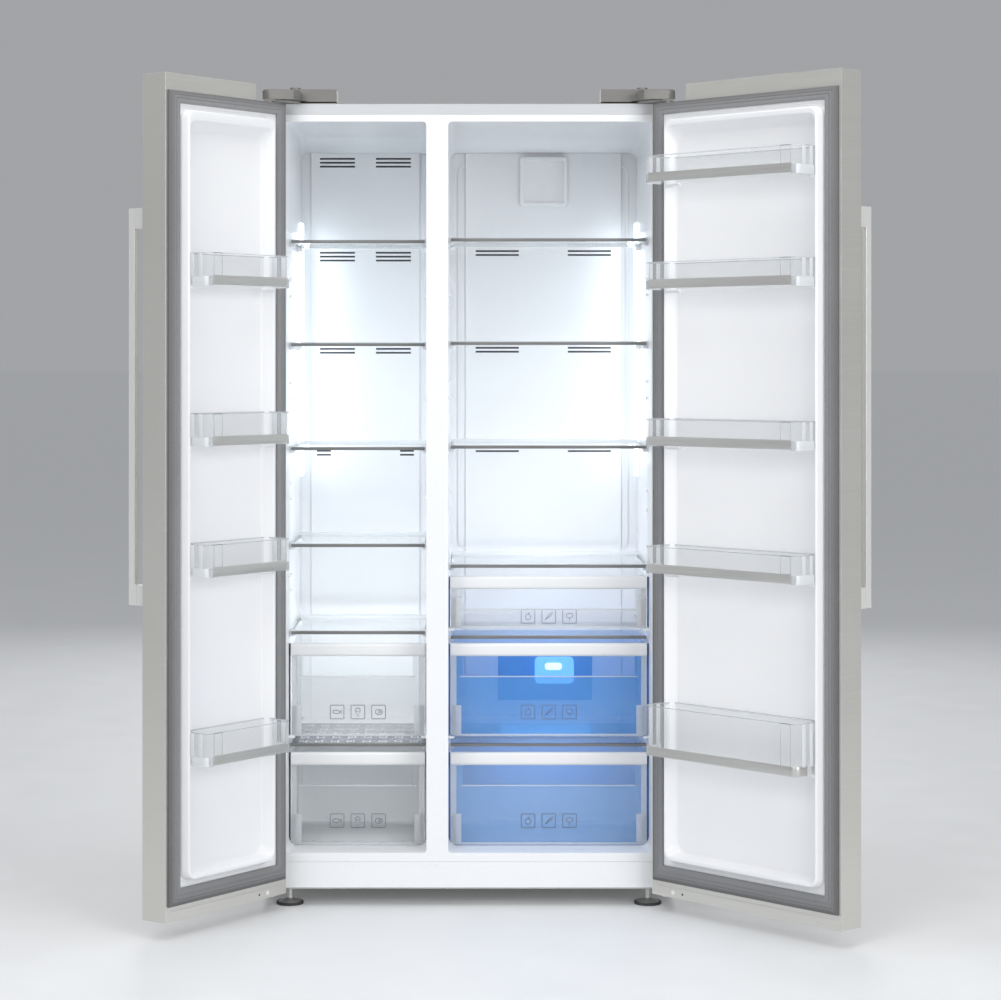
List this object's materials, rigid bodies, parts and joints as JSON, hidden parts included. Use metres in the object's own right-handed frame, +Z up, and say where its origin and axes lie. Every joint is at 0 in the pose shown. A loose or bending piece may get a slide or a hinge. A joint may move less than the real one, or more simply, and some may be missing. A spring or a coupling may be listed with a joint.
{
  "type": "side by side refrigerator",
  "caption": "Side by side refrigerator with freezer and fridge compartments, glass shelves, clear drawers and swinging doors with bins.",
  "frame": {"origin": "bottom centre of the bounding box of the whole appliance with both doors open as at rest, on the floor", "axes": "+Z up; +Y from the open front to the back of the cabinet; +X to the right as seen from the front"},
  "size_m": [1.5686, 1.1134, 1.825],
  "materials": {
    "painted_sides": "satin grey paint",
    "white_paint": "gloss white paint",
    "rail_paint": "light grey paint",
    "galvanised": "galvanised sheet",
    "zinc": "zinc plate",
    "foam": "rigid foam",
    "liner_plastic": "white high gloss",
    "cover_plastic": "painted champagne grey",
    "door_steel": "brushed, champagne tint",
    "handle_metal": "satin brushed",
    "gasket": "matte soft vinyl",
    "clear_plastic": "clear polystyrene",
    "shelf_glass": "clear float glass",
    "chrome": "bright plate",
    "black_paint": "black enamel",
    "coil_aluminium": "mill finish",
    "black_plastic": "moulded black",
    "lens": "opal lens, lit"
  },
  "bodies": {
    "cabinet": {"cabinet_wrap": "painted_sides", "rear_panel": "galvanised", "foam_core": "foam", "freezer_liner": "liner_plastic", "fridge_liner": "liner_plastic", "front_frame": "white_paint", "top_rail": "rail_paint", "kick_plate": "white_paint", "base_pan": "galvanised", "compressor": "black_paint", "evaporator": "coil_aluminium", "freezer_duct_panel": "liner_plastic", "fridge_duct_panel": "liner_plastic", "freezer_light": "lens", "fridge_light": "lens", "upper_hinge_left": "zinc", "lower_hinge_left": "chrome", "hinge_cover_left": "cover_plastic", "upper_hinge_right": "zinc", "lower_hinge_right": "chrome", "hinge_cover_right": "cover_plastic", "freezer_shelf_1": "shelf_glass", "freezer_shelf_2": "shelf_glass", "freezer_shelf_3": "shelf_glass", "freezer_shelf_4": "shelf_glass", "freezer_shelf_5": "shelf_glass", "fridge_shelf_1": "shelf_glass", "fridge_shelf_2": "shelf_glass", "fridge_shelf_3": "shelf_glass", "fridge_shelf_4": "shelf_glass", "freezer_divider": "clear_plastic", "fridge_divider_low": "clear_plastic", "fridge_divider_high": "clear_plastic"},
    "left_door": {"left_door_skin": "door_steel", "left_door_liner": "liner_plastic", "left_door_gasket": "gasket", "left_door_handle": "handle_metal", "left_door_bin_1": "clear_plastic", "left_door_bin_2": "clear_plastic", "left_door_bin_3": "clear_plastic", "left_door_bin_4": "clear_plastic"},
    "right_door": {"right_door_skin": "door_steel", "right_door_liner": "liner_plastic", "right_door_gasket": "gasket", "right_door_handle": "handle_metal", "right_door_bin_1": "clear_plastic", "right_door_bin_2": "clear_plastic", "right_door_bin_3": "clear_plastic", "right_door_bin_4": "clear_plastic", "right_door_bin_5": "clear_plastic"},
    "fan": {"evaporator_fan": "black_plastic"},
    "left_foot": {"front_foot_left": "zinc"},
    "right_foot": {"front_foot_right": "zinc"},
    "left_roller": {"rear_roller_left": "black_plastic"},
    "right_roller": {"rear_roller_right": "black_plastic"},
    "freezer_drawer_low": {"freezer_drawer_low": "clear_plastic"},
    "freezer_drawer_high": {"freezer_drawer_high": "clear_plastic"},
    "fridge_drawer_low": {"fridge_drawer_low": "clear_plastic"},
    "fridge_drawer_mid": {"fridge_drawer_mid": "clear_plastic"},
    "fridge_drawer_small": {"fridge_drawer_small": "clear_plastic"}
  },
  "joints": [
    {"name": "left_door_hinge", "type": "hinge", "parent": "cabinet", "child": "left_door", "pos_m": [-0.50254, -0.14034, 0.9], "axis": [0, 0, -1], "range_deg": [-126.3, 8.7]},
    {"name": "right_door_hinge", "type": "hinge", "parent": "cabinet", "child": "right_door", "pos_m": [0.38046, -0.14034, 0.9], "axis": [0, 0, 1], "range_deg": [-133.2, 1.8]},
    {"name": "freezer_drawer_low_slide", "type": "slide", "parent": "cabinet", "child": "freezer_drawer_low", "axis": [0, -1, 0], "range_m": [0, 0.24]},
    {"name": "freezer_drawer_high_slide", "type": "slide", "parent": "cabinet", "child": "freezer_drawer_high", "axis": [0, -1, 0], "range_m": [0, 0.19]},
    {"name": "fridge_drawer_low_slide", "type": "slide", "parent": "cabinet", "child": "fridge_drawer_low", "axis": [0, -1, 0], "range_m": [0, 0.24]},
    {"name": "fridge_drawer_mid_slide", "type": "slide", "parent": "cabinet", "child": "fridge_drawer_mid", "axis": [0, -1, 0], "range_m": [0, 0.19]},
    {"name": "fridge_drawer_small_slide", "type": "slide", "parent": "cabinet", "child": "fridge_drawer_small", "axis": [0, -1, 0], "range_m": [0, 0.28]},
    {"name": "left_foot_screw", "type": "hinge", "parent": "cabinet", "child": "left_foot", "pos_m": [-0.46154, -0.07434, 0.02], "axis": [0, 0, 1], "continuous": true},
    {"name": "right_foot_screw", "type": "hinge", "parent": "cabinet", "child": "right_foot", "pos_m": [0.33946, -0.07434, 0.02], "axis": [0, 0, 1], "continuous": true},
    {"name": "left_roller_spin", "type": "hinge", "parent": "cabinet", "child": "left_roller", "pos_m": [-0.45174, 0.49066, 0.017], "axis": [1, 0, 0], "continuous": true},
    {"name": "right_roller_spin", "type": "hinge", "parent": "cabinet", "child": "right_roller", "pos_m": [0.32966, 0.49066, 0.017], "axis": [1, 0, 0], "continuous": true},
    {"name": "fan_spin", "type": "hinge", "parent": "cabinet", "child": "fan", "pos_m": [-0.31036, 0.44366, 1.5369], "axis": [0, 1, 0], "continuous": true}
  ]
}
